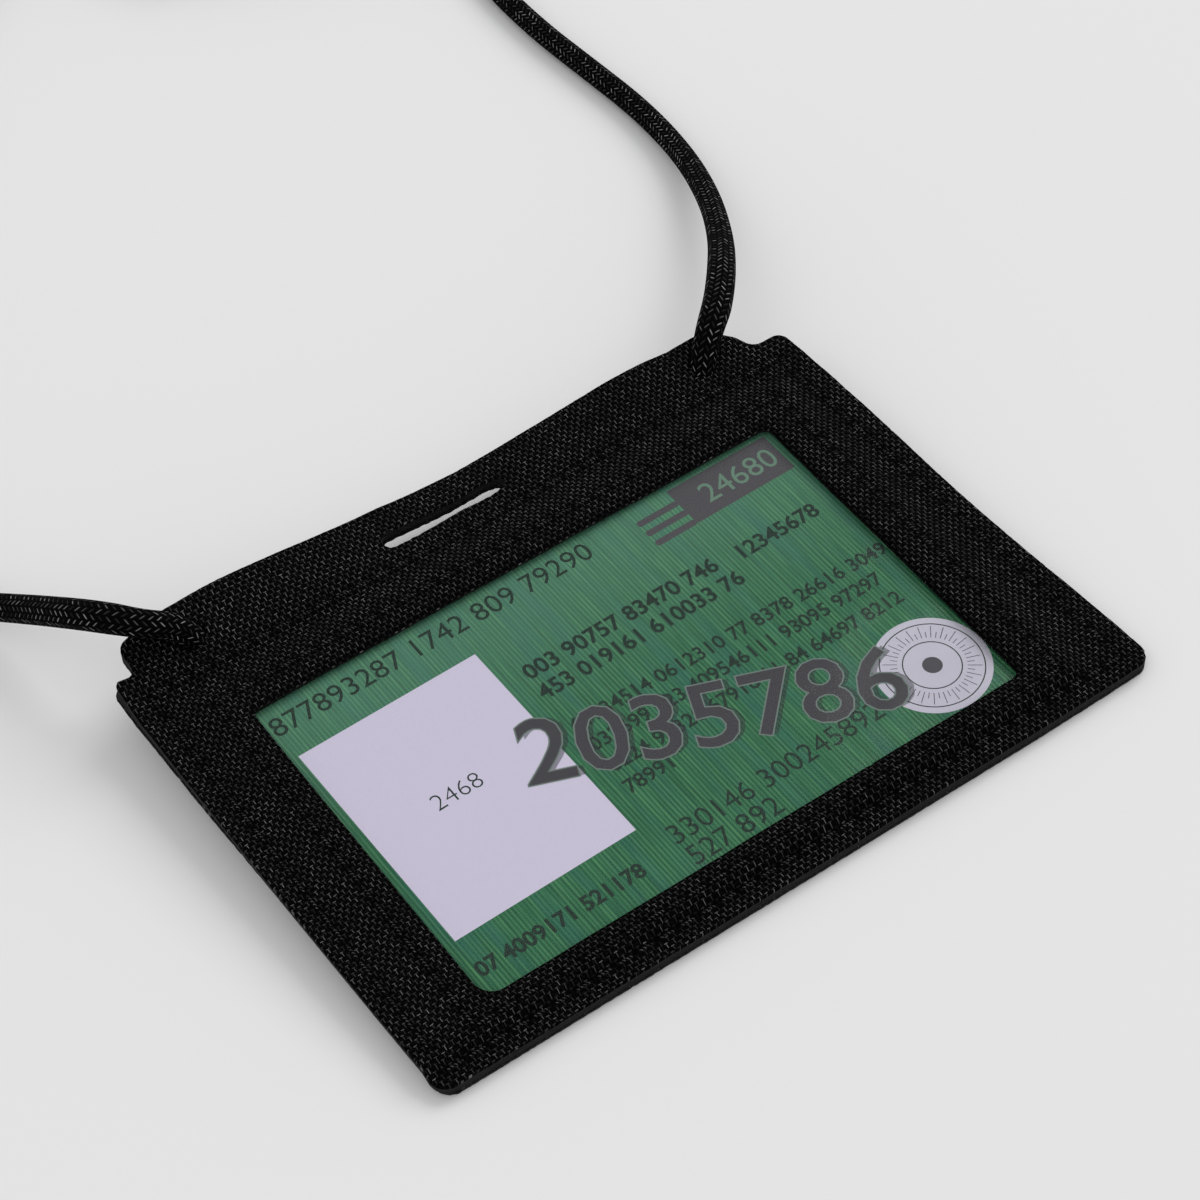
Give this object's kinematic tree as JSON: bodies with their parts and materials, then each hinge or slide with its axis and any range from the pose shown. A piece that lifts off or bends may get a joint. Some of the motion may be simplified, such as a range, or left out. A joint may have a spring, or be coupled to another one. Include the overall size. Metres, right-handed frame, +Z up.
{
  "type": "badge holder",
  "caption": "Cloth badge holder with a clear window, a card in its pocket, a clip slot in its header and a braided neck cord knotted through two holes.",
  "frame": {"origin": "on the surface that the holder lies on, under the middle of the holder without its cord", "axes": "+X to the right along the holder's longer side, +Y from its lower edge towards the header, +Z up from the surface; the holder is tilted 4 degrees, header end up, on the knots behind the header"},
  "size_m": [0.1407, 0.2479, 0.0148],
  "materials": {
    "woven_cloth": "matt woven",
    "cloth_backing": "smooth coated",
    "clear_film": "clear, glossy",
    "printed_card": "printed, laminated",
    "sewing_thread": "matt thread",
    "tie_strap": "brushed strap",
    "braided_cord": "soft braid"
  },
  "bodies": {
    "holder": {"front_cloth": "woven_cloth", "front_backing": "cloth_backing", "window_film": "clear_film", "rear_backing": "cloth_backing", "rear_cloth": "woven_cloth", "window_seam_needle_thread": "sewing_thread", "window_seam_bobbin_thread": "sewing_thread", "border_seam_needle_thread": "sewing_thread", "border_seam_bobbin_thread": "sewing_thread", "opening_hem_needle_thread": "sewing_thread", "opening_hem_bobbin_thread": "sewing_thread", "cord_left": "braided_cord", "cord_coil": "braided_cord", "cord_right": "braided_cord", "coil_tie": "tie_strap", "knot_left": "braided_cord", "knot_right": "braided_cord"},
    "card": {"card": "printed_card"}
  },
  "joints": [
    {"name": "card_slide", "type": "slide", "parent": "holder", "child": "card", "axis": [-1, 0, 0], "range_m": [0, 0.096]}
  ]
}
